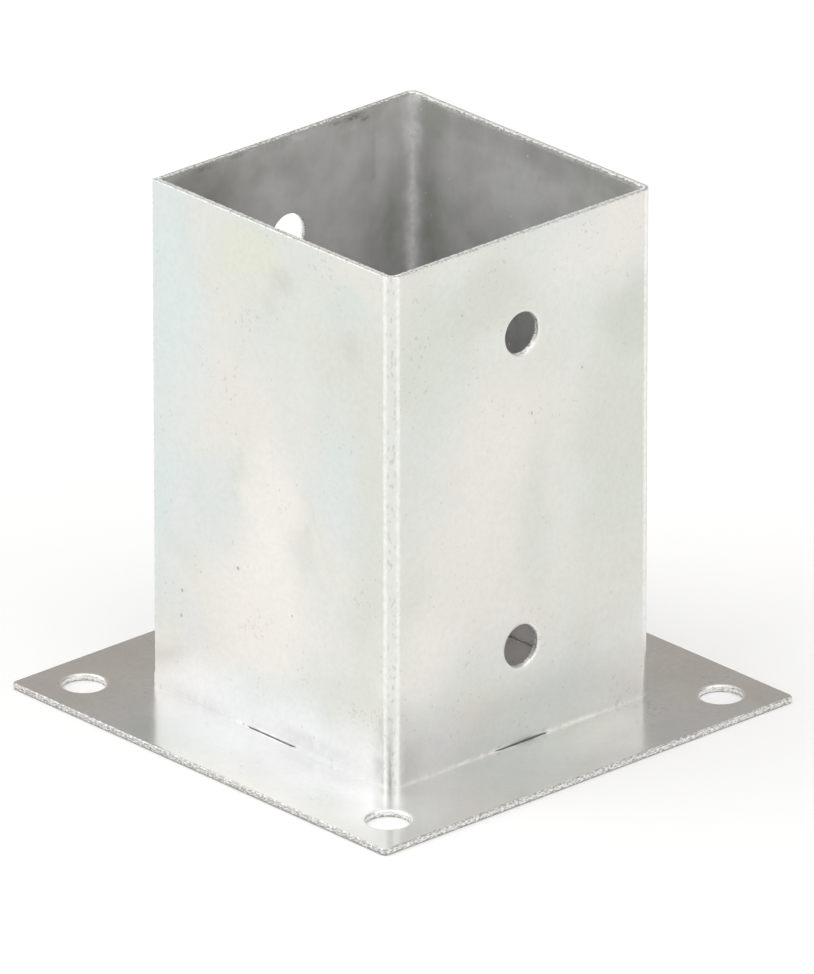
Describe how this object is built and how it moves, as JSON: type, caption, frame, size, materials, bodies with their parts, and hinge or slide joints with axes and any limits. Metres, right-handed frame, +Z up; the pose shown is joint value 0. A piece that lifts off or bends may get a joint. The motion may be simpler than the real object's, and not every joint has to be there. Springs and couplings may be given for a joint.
{
  "type": "timber post base",
  "caption": "Square folded sheet-steel sleeve on a flat square plate: holds a timber post upright and bolts down to concrete or paving.",
  "frame": {"origin": "centre of the base plate's underside, on the ground", "axes": "+Z up along the sleeve's axis; the walls with bolt holes face +X and -X; the sleeve's seam is at the (-X, -Y) corner"},
  "size_m": [0.15, 0.15, 0.15],
  "materials": {
    "zinc_coated_sheet": "smooth bright zinc plating with a faint rainbow passivation",
    "zinc_coated_plate": "smooth bright zinc plating, a little duller than the sleeve",
    "weld_metal": "zinc-plated weld bead"
  },
  "bodies": {
    "root": {"sleeve": "zinc_coated_sheet", "base_plate": "zinc_coated_plate", "tab_welds": "weld_metal", "seam_weld": "weld_metal"}
  },
  "joints": []
}
